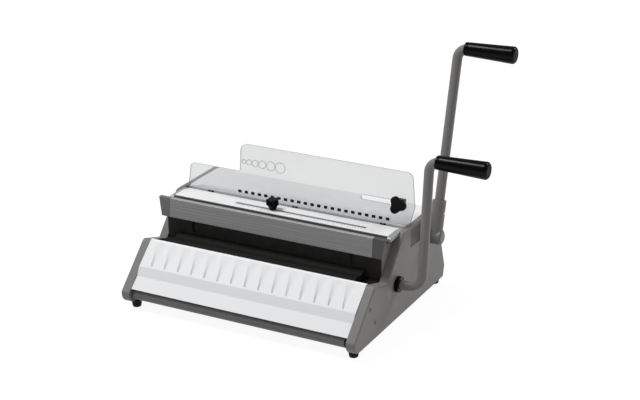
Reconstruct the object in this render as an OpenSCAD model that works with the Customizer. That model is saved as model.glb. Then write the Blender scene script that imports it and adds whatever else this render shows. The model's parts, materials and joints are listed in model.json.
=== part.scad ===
// Manual wire binding machine: a lever punch and a lever wire closer in one desk frame.
// Millimetres. +X is the operator's right, +Y goes to the back, +Z is up.

/* [Side frames] */
// Width over the two side frames
body_w = 435; // [400:1:480]
// Thickness of a side frame
frame_t = 16; // [13:0.5:20]
// Radius along the outer edges of a side frame
frame_edge_r = 2.5; // [1.5:0.5:5]
// Depth of the front nose
nose_y = -12; // [-16:1:-6]
// Height where the nose meets the front slope
nose_z = 34; // [32:1:38]
// Radius under the nose
nose_r = 18; // [10:1:20]
// Depth of the top of the front slope
slope_y = 60; // [56:1:64]
// Height of the top of the front slope
slope_z = 104; // [98:1:110]
// Depth of the inner corner below the closing mouth
mouth_y = 108; // [106:1:112]
// Height of the inner corner below the closing mouth
mouth_z = 89; // [84:1:94]
// Depth of the front end of the frame tops
crown_y = 168; // [160:1:176]
// Height of the frame tops
top_z = 157; // [150:1:175]
// Depth of the rear end of the frame tops
back_top_y = 298; // [296:1:315]
// Depth of the rearmost edge
back_y = 342; // [336:1:370]
// Height of the rearmost edge
back_z = 33; // [26:1:40]

/* [Feet and base] */
// Height of a rubber foot
foot_h = 12; // [8:1:14]
// Diameter of a rubber foot
foot_d = 18; // [14:1:22]
// Distance of a foot's centre from the end of the flat underside
foot_inset = 7; // [5:1:40]
// Thickness of the base pan
pan_t = 2.5; // [1.5:0.5:3]
// Height of the base pan's turned-up sides
pan_side_h = 20; // [10:1:30]
// Diameter of a cross bar between the frames
cross_bar_d = 12; // [8:1:16]

/* [Covers] */
// Wall of the moulded covers
cover_t = 3; // [2:0.5:4]
// Overlap of the table and top cover onto each side frame
cover_lap = 7.5; // [4:0.5:9]
// Depth of the step below the fluted facet
step_y = 22; // [19:1:25]
// Height of the step below the fluted facet
step_z = 70; // [67:1:73]
// Depth of the foot of the steep band
band_y = 13.4; // [11:0.2:16]
// Height of the foot of the steep band
band_z = 56; // [53:1:59]
// Depth of the front cover's lower edge
hem_y = -5.6; // [-8:0.2:-3]
// Number of scoops in the front cover
scoop_count = 15; // [5:1:15]
// Distance between scoops
scoop_pitch = 25.5; // [22:0.5:26]
// Depth of a scoop at its lower end
scoop_depth = 3.2; // [2:0.2:4.4]
// Depth of a scoop where it starts to fade
scoop_top_depth = 0.7; // [0.5:0.1:1.4]
// Width of a scoop at its lower end
scoop_w = 3.6; // [3:0.2:6]
// Width left between scoops at their upper ends
scoop_land = 5; // [1:0.5:8]
// Length of a scoop up to where it starts to fade
scoop_run = 38; // [34:1:39]
// Length over which a scoop fades at its upper end
scoop_fade = 7; // [4:0.5:7]
// Crown of the table above the frame tops
table_rise = 1.5; // [0.5:0.5:4]
// Fall of the table's rear edge below the frame tops
table_fall = 2.5; // [1:0.5:3]
// Drop from the frame tops to the deck that carries table and top cover
deck_drop = 7; // [6:0.5:9]

/* [Closing bar and lever] */
// Depth of the closing bar's lower front edge
bar_y = 102.3; // [100:0.1:104]
// Height of the closing bar's lower edge below the frame tops
bar_drop = 25; // [22:0.5:27]
// Height of the closing bar
bar_h = 33; // [30:0.5:34]
// Thickness of the closing bar
bar_t = 5.5; // [4:0.5:7]
// Backward lean of the closing bar from its lower to its upper edge
bar_lean = 3.3; // [0:0.1:5]
// Width of the lip along the top of the closing bar
bar_lip = 7; // [6:0.5:8]
// Fall of the bar's top towards the front
bar_fall = 0.4; // [0.2:0.2:2]
// Half length of the closing bar along its upper edge beyond the frame's inner face
bar_over = 11; // [6:0.5:12]
// Inward taper of the bar's ends
bar_taper = 6; // [0:0.5:8]
// Length of a cap on the end of the closing bar
bar_cap_l = 22; // [14:1:26]
// Depth of the closing lever's axis
closing_y = 142.5; // [140:0.5:146]
// Height of the closing lever's axis
closing_z = 76; // [74:0.5:78]
// Turn of the closing lever from rest to its stop
closing_turn = 75; // [60:1:80]
// Downward travel of the closing bar
closing_travel = 24; // [18:0.5:25]
// Diameter of the closing lever's rod and shaft
closing_d = 16; // [13:0.5:18]
// Length of the closing lever from its axis to its grip
closing_l = 213.5; // [180:0.5:240]
// Backward lean of the closing lever at rest
closing_lean = 5; // [0:0.5:10]
// Distance of the closing lever from the side frame
closing_reach = 43.5; // [42:0.5:60]

/* [Punch and lever] */
// Depth of the front wall of the punch throat
throat_y = 186; // [184:1:190]
// Width of the punch throat
throat_w = 5; // [4.5:0.5:6]
// Depth of the throat below the deck
throat_depth = 14; // [10:0.5:16]
// Number of punch pins
pin_count = 23; // [10:1:23]
// Distance between punch pins
pin_pitch = 12.7; // [9:0.1:12.7]
// Offset of the row of pins from the middle of the machine
pin_offset = 36; // [0:1:40]
// Width of a punch pin
pin_w = 6; // [4:0.5:7]
// Height of a punch pin
pin_h = 5; // [4:0.5:7]
// Thickness of the die plate
die_t = 10; // [6:0.5:12]
// Thickness of the pin guide plate
guide_t = 9; // [6:0.5:10]
// Depth of the punch shaft
punch_y = 258; // [256:1:262]
// Drop of the punch shaft below the deck
punch_drop = 30.5; // [29:0.5:36]
// Diameter of the punch shaft
punch_d = 16; // [14:0.5:18]
// Throw of the eccentrics on the punch shaft
punch_throw = 7.5; // [6:0.25:7.75]
// Turn of the punch lever from rest to its stop
punch_turn = 70; // [50:1:72]
// Length of the punch lever from its axis to its grip
punch_l = 315.5; // [280:0.5:340]
// Backward lean of the punch lever at rest
punch_lean = 14; // [8:0.5:16]
// Distance of the punch lever from the side frame
punch_reach = 15.5; // [14:0.5:16]
// Diameter of the punch lever's tube
tube_d = 16.5; // [13:0.5:17]
// Diameter of the sleeve that holds the punch lever's tube
sleeve_d = 23.5; // [21:0.5:25]
// Length of the sleeve from the lever's axis
sleeve_l = 62; // [50:1:80]
// Diameter of the punch lever's hub
hub_d = 25; // [22:0.5:30]

/* [Grips and knobs] */
// Length of a hand grip
grip_l = 88; // [80:1:115]
// Distance of a grip from the plane of its lever
grip_from = 12; // [10:0.5:14]
// Diameter of a grip at its inner end
grip_d1 = 23; // [20:0.5:26]
// Diameter of a grip at its outer end
grip_d2 = 29; // [25:0.5:30]
// Depth of the hole in a grip
grip_bore_l = 60; // [30:1:80]
// Radius of the bend at the top of a lever
top_bend_r = 17; // [15:0.5:18]
// Radius of the bend at the foot of the closing lever
foot_bend_r = 22; // [17:1:26]
// Rest position of the size setting knob along the table
size_x = -19; // [-70:1:130]
// Left end of the size slot
size_from = -90; // [-120:1:-86]
// Right end of the size slot
size_to = 156; // [140:1:170]
// Width of the size slot
size_slot_w = 6; // [5:0.5:7]
// Diameter of the size knob's head
size_knob_d = 22; // [18:0.5:26]
// Height of the size knob above the table
size_knob_h = 18; // [15:1:24]
// Distance of the side stop at rest from the right frame's outer face
stop_in = 21.5; // [19.5:0.5:77.5]
// Length of the side stop's slot
stop_slot_l = 80; // [75:1:105]
// Distance of the slot's right end from the right frame's outer face
stop_slot_in = 12.5; // [11.5:0.5:14.5]
// Diameter of the side stop's knob over its lobes
stop_knob_d = 31; // [26:1:34]
// Depth of the side stop's knob
stop_knob_h = 10; // [9:1:20]

/* [Paper support sheet] */
// Thickness of the clear sheet
sheet_t = 4; // [3:0.5:5]
// Backward lean of the sheet
sheet_lean = 5; // [0:0.5:8]
// Height of the low left part of the sheet
sheet_low = 48.5; // [40:0.5:60]
// Height of the tall part of the sheet
sheet_high = 98; // [80:1:120]
// Position of the step between the two parts
sheet_step_x = -105.5; // [-130:0.5:-80]
// Height of the side stop's slot above the sheet's foot
stop_up = 43; // [34:1:46]
// Width of the side stop's slot
stop_slot_w = 8; // [6:0.5:9]

/* [Chip drawer] */
// Height of the drawer's round front
drawer_h = 20.5; // [16:0.5:21]
// Depth of the centre of the drawer's round front
drawer_y = 5; // [0:0.5:6]
// Gap between the base pan and the drawer
drawer_lift = 2.9; // [2:0.1:5]
// Depth of the chip tray behind the front
tray_l = 218; // [150:1:230]
// Travel of the drawer
drawer_travel = 180; // [100:1:190]
// Wall of the chip tray
tray_t = 2; // [1:0.5:3]
// Thickness of a cap on the end of the drawer front
drawer_cap_t = 5; // [2:0.5:6]

/* [Fits] */
// Radial clearance of a turning shaft in its bush
run_fit = 0.05; // [0.02:0.01:0.1]
// Gap between parts that slide past each other
slide_gap = 0.3; // [0.2:0.05:0.5]

/* [Hidden] */
$fn = 64;

outer = body_w / 2;
inner = outer - frame_t;
lap = inner + cover_lap;
blind_x = outer - 4;
deck_z = top_z - deck_drop;
back_low_y = back_y - 5;
back_rake = (back_y - back_top_y) / (top_z - back_z);
front_slope = atan2(slope_z - step_z, slope_y - step_y);
flat_front_y = nose_y + nose_r;
pan_y = flat_front_y + 10;
foot_x = inner + 2;
foot_front_y = flat_front_y + foot_inset;
foot_rear_y = back_low_y - foot_inset;

bar_z = top_z - bar_drop;
bar_half = inner + bar_over;
plate_y = bar_y + bar_lean + bar_lip + 1.4;
plate_t = 2.5;
anvil_z = bar_z - closing_travel - 4;
arm_in = 52;
arm_x = inner - arm_in;
arm_t = 6;
arm_front_y = plate_y + plate_t + 1;
arm_neck_h = 14;
crank_r = closing_travel / (2 * sin(closing_turn / 2));
crank_t = 6;
crank_pin_d = 8;
crank_pin_slack = 0.6;
crank_pin_z = closing_z + closing_travel / 2;
crank_pin_near = closing_y - crank_r * cos(closing_turn / 2);
crank_pin_far = closing_y - crank_r;
bush_d = closing_d + 6;
collar_d = closing_d + 11;
collar_t = 7;

guide_y = throat_y + throat_w;
pin_z = deck_z - throat_depth + 6;
punch_z = deck_z - punch_drop;
punch_travel = 2 * punch_throw * sin(punch_turn / 2);
eccentric_d = punch_d + 2 * punch_throw + 3;
eccentric_t = 10;
eccentric_in = 60;
eccentric_x = inner - eccentric_in;
ram_t = 16;
ram_y = guide_y + guide_t + punch_travel + 0.6;
ram_h = 15;
ram_half = inner - 6;
punch_bush_d = punch_d + 8;
yoke_wall = 6;
punch_x = outer + punch_reach;

stop_x = outer - stop_in;
stop_to = outer - stop_slot_in;
stop_from = stop_to - stop_slot_l;
sheet_y = guide_y;
sheet_z = deck_z + sheet_t * sin(sheet_lean);
cover_y = sheet_y + sheet_t + 5.5;
rail_top = deck_z + 4.5;
screw_pair_x = [-0.804, 0.015, 0.829] * inner;
screw_gap = 6;
screw_d = 2.6;
screw_head_d = 4.4;
screw_head_t = 1.2;
screw_up = 2.6;
screw_grip = 3;

drawer_z = foot_h + pan_t + drawer_lift;
drawer_r = drawer_h / 2;
drawer_half = inner - 1;
tray_half = inner - 16;
table_from = plate_y + 24;
size_y = (plate_y + throat_y) / 2 + 5;
closing_x = outer + closing_reach;
origin_x = (closing_x + grip_from + grip_l - outer) / 2;
origin_y = (nose_y + punch_y + punch_l * sin(punch_lean) + grip_d2 / 2) / 2;

paint_grey = "#7d7874";
panel_white = "#e6e8e9";
bar_grey = "#5f5d5d";
steel = "#a9a9a6";
black = "#161616";
clear = "#dfe6ea80";

// Depth of the rear slope at height z
function back_at(z) = back_y - (z - back_z) * back_rake;
// Depth of the closing bar's rear face at height z
function bar_back(z) = bar_y + bar_t + bar_lean * (z - bar_z) / bar_h;
// Position of a punch pin along the machine
function pin_x(i) = pin_offset + (i - (pin_count - 1) / 2) * pin_pitch;
// The vector v at length one
function unit(v) = v / norm(v);
// The left-hand normal of the edge from a to b
function left_of(a, b) = let (d = unit([b.x - a.x, b.y - a.y])) [-d.y, d.x];
// An angle brought into the half turn either way
function half_turn(a) = a > 180 ? a - 360 : a < -180 ? a + 360 : a;

// The arc that rounds corner b between its neighbours a and c
function corner(a, b, c, steps) =
    let (p = [b.x, b.y], r = b[2], u = unit([a.x, a.y] - p), w = unit([c.x, c.y] - p),
        half = acos(u * w) / 2, centre = p + unit(u + w) * r / sin(half),
        from = p + u * r / tan(half) - centre, to = p + w * r / tan(half) - centre,
        start = atan2(from.y, from.x), sweep = half_turn(atan2(to.y, to.x) - start))
    [for (k = [0:steps]) let (t = start + sweep * k / steps) centre + r * [cos(t), sin(t)]];

// A closed outline of [x, y, radius] corners with each corner rounded
function rounded(pts, steps = 6) =
    let (n = len(pts))
    [for (i = [0:n - 1]) let (b = pts[i])
        each b[2] > 0 ? corner(pts[(i + n - 1) % n], b, pts[(i + 1) % n], steps) : [[b.x, b.y]]];

// A counterclockwise outline of [x, y, radius] corners moved inwards by d
function inset(pts, d) =
    let (n = len(pts))
    [for (i = [0:n - 1])
        let (b = pts[i], s = left_of(pts[(i + n - 1) % n], b), t = left_of(b, pts[(i + 1) % n]),
            p = [b.x, b.y] + d * (s + t) / (1 + s * t))
        [p.x, p.y, max(b[2] - d, 0)]];

// The outline of a sheet of thickness t that lies along the right of an open path
function bent_sheet(path, t) =
    let (n = len(path),
        back = [for (i = [0:n - 1])
            let (s = left_of(path[max(i - 1, 0)], path[max(i, 1)]),
                e = left_of(path[min(i, n - 2)], path[min(i + 1, n - 1)]))
            path[i] - t * (s + e) / (1 + s * e)])
    concat(path, [for (i = [n - 1:-1:0]) back[i]]);

// Stands an outline in the YZ plane and extrudes it along +X
module along_x(w) { rotate([90, 0, 90]) linear_extrude(w) children(); }
// The same, centred on the middle of the machine
module across(w) { translate([-w / 2, 0, 0]) along_x(w) children(); }
// Stands an outline in the XZ plane and extrudes it along +Y
module along_y(t) { translate([0, t, 0]) rotate([90, 0, 0]) linear_extrude(t) children(); }
// A round bar along X
module bar_x(d, from, to) { translate([from, 0, 0]) rotate([0, 90, 0]) cylinder(d = d, h = to - from); }
// A block between two corners
module block(low, high) { translate(low) cube(high - low); }
// Repeats its children on the left side
module both_sides() {
    children();
    mirror([1, 0, 0]) children();
}
// Moves the machine so that the middle of its footprint is the origin
module seated() { translate([-origin_x, -origin_y, 0]) children(); }

// Side frames

function frame_front() = [[nose_y, foot_h, nose_r], [mouth_y + 30, foot_h, 0],
    [mouth_y + 30, mouth_z - 30 * (slope_z - mouth_z) / (mouth_y - slope_y), 0],
    [slope_y, slope_z, 7], [nose_y, nose_z, 5]];
function frame_rear() = [[mouth_y, foot_h, 0], [back_low_y, foot_h, 3], [back_y, back_z, 5],
    [back_top_y, top_z, 8], [crown_y, top_z, 8], [mouth_y, mouth_z, 0]];

module frame_block(outline) {
    hull() for (a = [0:30:90])
        translate([inner, 0, 0]) along_x(frame_t - frame_edge_r * (1 - sin(a)))
            polygon(rounded(inset(outline, frame_edge_r * (1 - cos(a)) + 0.001), 5));
}

module frame_bores(to) {
    translate([0, closing_y, closing_z]) bar_x(bush_d, inner - 1, to);
    translate([0, punch_y, punch_z]) bar_x(punch_bush_d, inner - 1, to);
}

module side_frame(bore_to) {
    difference() {
        union() {
            frame_block(frame_front());
            frame_block(frame_rear());
        }
        frame_bores(bore_to);
        block([inner - 1, plate_y, deck_z - slide_gap], [lap + slide_gap, back_y, top_z + 1]);
    }
}

recess_low = [crown_y + 25, punch_z + 1];
recess_size = [42, 31];
recess_depth = 3;

module recess_shape(d, gap) {
    translate([outer - recess_depth, recess_low.x + gap, recess_low.y + gap])
        cube([d, recess_size.x - 2 * gap, recess_size.y - 2 * gap]);
}

module left_side_frame() { color(paint_grey) mirror([1, 0, 0]) side_frame(blind_x); }

module right_side_frame() {
    color(paint_grey) difference() {
        side_frame(outer + 1);
        recess_shape(recess_depth + 1, 0);
    }
}

module side_recess_panel() { color(paint_grey) recess_shape(recess_depth - 1, 0); }

frame_screw_d = 7;
frame_screw_t = 1.4;
frame_screw_at = [[0.717 * slope_y, 0.683 * slope_z], [1.033 * slope_y, 0.404 * slope_z]];

module frame_screws() {
    color(paint_grey) both_sides() for (p = frame_screw_at)
        translate([0, p.x, p.y]) bar_x(frame_screw_d, outer, outer + frame_screw_t);
}

module rubber_feet() {
    color(black) both_sides() for (y = [foot_front_y, foot_rear_y])
        translate([foot_x, y, 0]) cylinder(d1 = foot_d - 3, d2 = foot_d, h = foot_h);
}

module base_pan() {
    color(paint_grey) across(2 * inner) polygon(bent_sheet([[pan_y, drawer_z - 1], [pan_y, foot_h],
        [back_low_y - 6, foot_h], [back_low_y - 6, foot_h + pan_side_h]], -pan_t));
}

cross_bar_in = 24;
cross_bar_at = [[1.333 * slope_y, 0.798 * mouth_z], [back_at(mouth_z) - cross_bar_in, 0.663 * mouth_z]];

module cross_bars() {
    color(steel) for (p = cross_bar_at)
        translate([0, p.x, p.y]) bar_x(cross_bar_d, -inner, inner);
}

// Covers

lip_y = slope_y + 6;
hem_z = drawer_z + drawer_h + 0.8;

function cover_path() = [[hem_y, hem_z], [band_y, band_z], [step_y, step_z],
    [slope_y, slope_z], [slope_y + 2.5, slope_z + 0.8], [lip_y - 1, slope_z], [lip_y, slope_z - 2],
    [lip_y, mouth_z + 1]];

scoop_from = 3.2;

// A stretch of a scoop with its widths and depths at its lower and upper ends
module flute(from, run, w, depth, steps) {
    above = 1;
    hollow = [for (u = [-1:0.25:1]) [w[0] / 2 * u, depth[0] * (1 - u * u)]];
    translate([0, from, 0]) rotate([-90, 0, 0])
        linear_extrude(run, scale = [w[1] / w[0], depth[1] / depth[0]], slices = steps, segments = 1)
            polygon(concat(hollow, [[w[0] / 2, -above], [-w[0] / 2, -above]]));
}

// A scoop in the fluted facet: narrow and deep below, broad and shallow above, then fading out
module scoop() {
    top_w = scoop_pitch - scoop_land;
    fade_depth = 0.1;
    flute(scoop_from, scoop_run, [scoop_w, top_w], [scoop_depth, scoop_top_depth], 6);
    flute(scoop_from + scoop_run - 0.2, scoop_fade, [top_w, top_w], [scoop_top_depth, fade_depth], 1);
}

module on_facet() { translate([0, step_y, step_z]) rotate([front_slope, 0, 0]) children(); }

module front_cover() {
    color(panel_white) difference() {
        union() {
            across(2 * inner) polygon(bent_sheet(cover_path(), cover_t));
            on_facet() block([-inner, 1, -scoop_depth - cover_t],
                [inner, scoop_from + scoop_run + scoop_fade + 1, -cover_t / 2]);
        }
        on_facet() for (i = [0:scoop_count - 1])
            translate([(i - (scoop_count - 1) / 2) * scoop_pitch, 0, 0]) scoop();
        block([-outer, nose_y, 0], [outer, slope_y, hem_z]);
    }
}

function table_path() = [[table_from, deck_z], [table_from, top_z + table_rise - 3],
    [table_from + 1, top_z + table_rise - 1], [table_from + 3, top_z + table_rise],
    [(table_from + throat_y) / 2 + 6, top_z + table_rise], [throat_y, top_z - table_fall],
    [throat_y, deck_z]];

module slot_hole(from, to, d, h) {
    translate([from + d / 2, 0, 0]) cylinder(d = d, h = h);
    translate([to - d / 2, 0, 0]) cylinder(d = d, h = h);
    translate([from + d / 2, -d / 2, 0]) cube([to - from - d, d, h]);
}

module work_table() {
    color(panel_white) difference() {
        across(2 * inner) polygon(bent_sheet(table_path(), cover_t));
        translate([0, size_y, deck_z]) slot_hole(size_from, size_to, size_slot_w, 30);
    }
}

module table_ends() {
    from = table_from - 4;
    color(paint_grey) both_sides() translate([inner, 0, 0]) along_x(cover_lap) polygon([[from, deck_z],
        [from, top_z - 2], [from + 2, top_z], [throat_y - 6, top_z], [throat_y, top_z - table_fall],
        [throat_y, deck_z]]);
}

module top_cover() {
    color(panel_white) difference() {
        across(2 * lap) polygon(bent_sheet([[cover_y, deck_z], [cover_y, rail_top],
            [cover_y + 2, top_z - 1], [back_top_y - 6, top_z - 1], [back_top_y - 1, top_z - 4],
            [back_at(deck_z) - 1, deck_z]], cover_t));
        block([-outer, cover_y, 0], [outer, back_y, deck_z]);
    }
}

module rear_cover() {
    color(paint_grey) across(2 * inner) polygon(bent_sheet([
        [back_at(deck_z - slide_gap) - 1, deck_z - slide_gap], [back_y - 1, back_z],
        [back_low_y - 1, foot_h]], cover_t));
}

// Clear paper support

sheet_left = lap - slide_gap;
sheet_right = outer + 5;

function sheet_outline() = [[-sheet_left, 0, 0], [sheet_left, 0, 0], [sheet_left, 8, 0],
    [outer - 2, 12, 8], [sheet_right, 40, 24], [outer - 2, sheet_high, 12],
    [sheet_step_x, sheet_high, 12], [sheet_step_x, sheet_low, 4], [5 - sheet_left, sheet_low, 8],
    [2 - sheet_left, 14, 3], [-sheet_left, 4, 0]];

// Puts its children on the leaning sheet: Y counts from its front face, Z from its foot
module on_sheet() { translate([0, sheet_y, sheet_z]) rotate([-sheet_lean, 0, 0]) children(); }

module screw_row() {
    for (x = screw_pair_x, side = [-1, 1])
        translate([x + side * screw_gap / 2, 0, screw_up]) rotate([-90, 0, 0]) children();
}

module paper_sheet() {
    color(clear) on_sheet() difference() {
        along_y(sheet_t) polygon(rounded(sheet_outline(), 10));
        translate([0, -1, stop_up]) rotate([-90, 0, 0])
            slot_hole(stop_from, stop_to, stop_slot_w, sheet_t + 2);
        translate([0, -1, 0]) screw_row() {
            cylinder(d = screw_d, h = sheet_t + 2);
            cylinder(d = screw_head_d, h = 1 + screw_head_t);
        }
    }
}

// Depth of the sheet's rear face at height z
function sheet_back(z) = sheet_y + sheet_t * cos(sheet_lean) + (z - deck_z) * tan(sheet_lean);

module sheet_rail() {
    color(panel_white) difference() {
        across(2 * sheet_left) polygon([[sheet_back(deck_z), deck_z], [cover_y, deck_z],
            [cover_y, rail_top], [sheet_back(rail_top), rail_top]]);
        on_sheet() screw_row() cylinder(d = screw_d, h = sheet_t + screw_grip);
    }
}

module sheet_screws() {
    color(steel) on_sheet() screw_row() {
        cylinder(d = screw_head_d, h = screw_head_t);
        cylinder(d = screw_d, h = sheet_t + screw_grip);
    }
}

// Closing mouth

anvil_in = 26;
anvil_bevel = 12;
anvil_fall = 6;
groove_in = 26;
groove_r = 9;
groove_depth = 3;

module closing_anvil() {
    rear_y = plate_y - 0.5;
    seat_z = mouth_z + 1;
    color(black) difference() {
        union() {
            block([-inner, lip_y, seat_z - cover_t], [inner, rear_y, seat_z]);
            across(2 * (inner - anvil_in)) polygon([[lip_y, seat_z - 1], [rear_y, seat_z - 1],
                [rear_y, anvil_z], [lip_y + anvil_bevel, anvil_z], [lip_y, anvil_z - anvil_fall]]);
        }
        translate([0, lip_y + groove_in, anvil_z + groove_r - groove_depth])
            bar_x(2 * groove_r, -inner, inner);
    }
}

neck_low = bar_z + 1;
neck_high = neck_low + arm_neck_h;

module mouth_back_plate() {
    strip_y = table_from - slide_gap - plate_t;
    color(black) difference() {
        across(2 * inner) {
            polygon(bent_sheet([[plate_y, mouth_z + 1], [plate_y, deck_z],
                [table_from + cover_t, deck_z]], plate_t));
            translate([strip_y, deck_z - plate_t]) square([plate_t, top_z + table_rise - deck_z + plate_t]);
        }
        both_sides() block([arm_x - arm_t / 2 - 0.5, plate_y - 1, neck_low - closing_travel - 0.7],
            [arm_x + arm_t / 2 + 0.5, plate_y + plate_t + 1, neck_high + 0.7]);
    }
}

module mouth_cheeks() {
    cheek_t = 2.5;
    front_y = plate_y + plate_t;
    top = deck_z - plate_t;
    color(paint_grey) both_sides() translate([inner - cheek_t, 0, 0]) along_x(cheek_t)
        polygon([[front_y, mouth_z - 1], [crown_y, top], [front_y, top]]);
}

module bar_guides() {
    guide_w = 9;
    rear_y = closing_y - closing_d / 2 - 1;
    low_z = closing_z + crank_r + 9;
    color(steel) both_sides() for (side = [-1, 1])
        translate([arm_x + side * (arm_t / 2 + slide_gap / 2 + guide_w / 2) - guide_w / 2, 0, 0])
            block([0, plate_y + plate_t, low_z], [guide_w, rear_y, neck_high]);
}

function bar_outline() = [[bar_y, bar_z], [bar_back(bar_z), bar_z],
    [bar_back(bar_z + bar_h - 5.5), bar_z + bar_h - 5.5],
    [bar_y + bar_lean + bar_lip, bar_z + bar_h - 2.5], [bar_y + bar_lean + bar_lip, bar_z + bar_h],
    [bar_y + bar_lean, bar_z + bar_h - bar_fall], [bar_y + bar_lean - 0.4, bar_z + bar_h - bar_fall - 2.2]];

module closing_bar() {
    color(bar_grey) across(2 * (bar_half - bar_cap_l)) polygon(bar_outline());
}

module bar_end_caps() {
    color(bar_grey) both_sides() intersection() {
        translate([bar_half - bar_cap_l, 0, 0]) along_x(bar_cap_l) polygon(bar_outline());
        along_y(plate_y) polygon([[0, bar_z - 1], [bar_half - bar_taper, bar_z - 1],
            [bar_half - bar_taper, bar_z + 2], [bar_half, bar_z + bar_h], [0, bar_z + bar_h]]);
    }
}

module closing_arms() {
    slot_h = crank_pin_d + 2 * crank_pin_slack;
    rear_y = closing_y - closing_d / 2 - 1.5;
    low_z = crank_pin_z - slot_h / 2 - 5;
    color(steel) both_sides() translate([arm_x - arm_t / 2, 0, 0]) difference() {
        along_x(arm_t) polygon([[bar_back(neck_low), neck_low], [arm_front_y, neck_low],
            [arm_front_y, low_z], [rear_y, low_z], [rear_y, neck_high], [bar_back(neck_high), neck_high]]);
        block([-1, crank_pin_far - slot_h / 2, crank_pin_z - slot_h / 2],
            [arm_t + 1, rear_y + 1, crank_pin_z + slot_h / 2]);
    }
}

// Closing lever

module bush(d, hole_d, from, to) {
    difference() {
        bar_x(d, from, to);
        bar_x(hole_d + 2 * run_fit, from - 1, to + 1);
    }
}

module closing_bushes() {
    color(black) translate([0, closing_y, closing_z]) {
        mirror([1, 0, 0]) bush(bush_d, closing_d, inner, blind_x);
        bush(bush_d, closing_d, inner, outer);
        bush(collar_d, closing_d, outer, outer + collar_t);
    }
}

module closing_shaft() {
    color(steel) translate([0, closing_y, closing_z]) bar_x(closing_d, 1 - blind_x, outer + collar_t + 0.5);
}

module closing_cranks() {
    color(steel) both_sides() translate([arm_x + arm_t / 2 + 1, closing_y, closing_z])
        rotate([-closing_turn / 2, 0, 0]) difference() {
            union() {
                bar_x(closing_d + 8, 0, crank_t);
                block([0, -crank_r, -6], [crank_t, 0, 6]);
                translate([0, -crank_r, 0]) {
                    bar_x(12, 0, crank_t);
                    bar_x(crank_pin_d, -arm_t - 3, 0);
                }
            }
            bar_x(closing_d + 2 * run_fit, -1, crank_t + 1);
        }
}

// A bent round rod in its own plane: along +X, up along +Z, and out along +X again
module quarter_bend(d, r) { rotate([90, 0, 0]) rotate_extrude(angle = 90) translate([r, 0]) circle(d = d); }

module rod_top(d, l, from) {
    translate([0, 0, from]) cylinder(d = d, h = l - top_bend_r - from);
    translate([top_bend_r, 0, l - top_bend_r]) rotate([0, -90, 0]) quarter_bend(d, top_bend_r);
    translate([0, 0, l]) bar_x(d, top_bend_r, grip_from + grip_bore_l - 1);
}

module grip() {
    difference() {
        rotate([0, 90, 0]) rotate_extrude() polygon(concat(
            [[0, 0], [grip_d1 / 2 - 1.2, 0], [grip_d1 / 2, 1.5], [grip_d2 / 2, grip_l - 5]],
            [for (a = [15:15:90]) [grip_d2 / 2 - 5 + 5 * cos(a), grip_l - 5 + 5 * sin(a)]],
            [[0, grip_l]]));
        children();
    }
}

module grip_bore(d) {
    bar_x(d + 2 * run_fit, -1, grip_bore_l);
    bar_x(d + 3, -1, top_bend_r - grip_from + 0.5);
}

module on_closing_lever() {
    translate([closing_x, closing_y, closing_z]) rotate([-closing_lean, 0, 0]) children();
}

module closing_rod() {
    start = outer + collar_t + 0.5 - closing_x;
    color(paint_grey) on_closing_lever() {
        bar_x(closing_d, start, -foot_bend_r);
        translate([-foot_bend_r, 0, foot_bend_r]) rotate([0, 90, 0]) quarter_bend(closing_d, foot_bend_r);
        rod_top(closing_d, closing_l, foot_bend_r);
    }
}

module closing_grip() {
    color(black) on_closing_lever() translate([grip_from, 0, closing_l]) grip() grip_bore(closing_d);
}

// Punch

module pin_holes(from, to) {
    gap = 0.1;
    for (i = [0:pin_count - 1]) block([pin_x(i) - pin_w / 2 - gap, from, pin_z - pin_h / 2 - gap],
        [pin_x(i) + pin_w / 2 + gap, to, pin_z + pin_h / 2 + gap]);
}

plate_low = deck_z - throat_depth - 8;

module die_plate() {
    color(steel) difference() {
        block([-inner, throat_y - die_t, plate_low], [inner, throat_y, deck_z]);
        pin_holes(throat_y - die_t - 1, throat_y + 1);
    }
}

module pin_guide_plate() {
    color(steel) difference() {
        block([-inner, guide_y, plate_low], [inner, guide_y + guide_t, deck_z]);
        pin_holes(guide_y - 1, guide_y + guide_t + 1);
    }
}

module throat_floor() {
    color(steel) block([-inner, throat_y, plate_low], [inner, guide_y, deck_z - throat_depth]);
}

module punch_pins() {
    color(steel) for (i = [0:pin_count - 1])
        block([pin_x(i) - pin_w / 2, guide_y + 0.5, pin_z - pin_h / 2],
            [pin_x(i) + pin_w / 2, ram_y, pin_z + pin_h / 2]);
}

ram_z = deck_z - ram_h - 0.5;

module punch_ram() {
    color(steel) block([-ram_half, ram_y, ram_z], [ram_half, ram_y + ram_t, ram_z + ram_h]);
}

rail_w = 14;
rail_h = 6;
rail_over = 10;

module ram_rails() {
    color(steel) both_sides() block([inner - rail_w, guide_y + guide_t, ram_z - slide_gap - rail_h],
        [inner, ram_y + ram_t + rail_over, ram_z - slide_gap]);
}

module ram_yokes() {
    slot_y = punch_y + punch_throw * sin(punch_turn / 2);
    half = eccentric_d / 2 + slide_gap;
    low_z = punch_z - eccentric_d / 2 - yoke_wall;
    color(steel) both_sides() difference() {
        block([eccentric_x, ram_y + ram_t, low_z],
            [eccentric_x + eccentric_t, slot_y + half + yoke_wall, ram_z + ram_h]);
        block([eccentric_x - 1, slot_y - half, low_z - 1],
            [eccentric_x + eccentric_t + 1, slot_y + half, punch_z + punch_throw + half + 0.2]);
    }
}

module punch_bushes() {
    color(black) translate([0, punch_y, punch_z]) {
        mirror([1, 0, 0]) bush(punch_bush_d, punch_d, inner, blind_x);
        bush(punch_bush_d, punch_d, inner, outer + 1.5);
    }
}

module punch_shaft() {
    color(steel) translate([0, punch_y, punch_z]) bar_x(punch_d, 1 - blind_x, punch_x + hub_d / 2 - 3);
}

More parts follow.
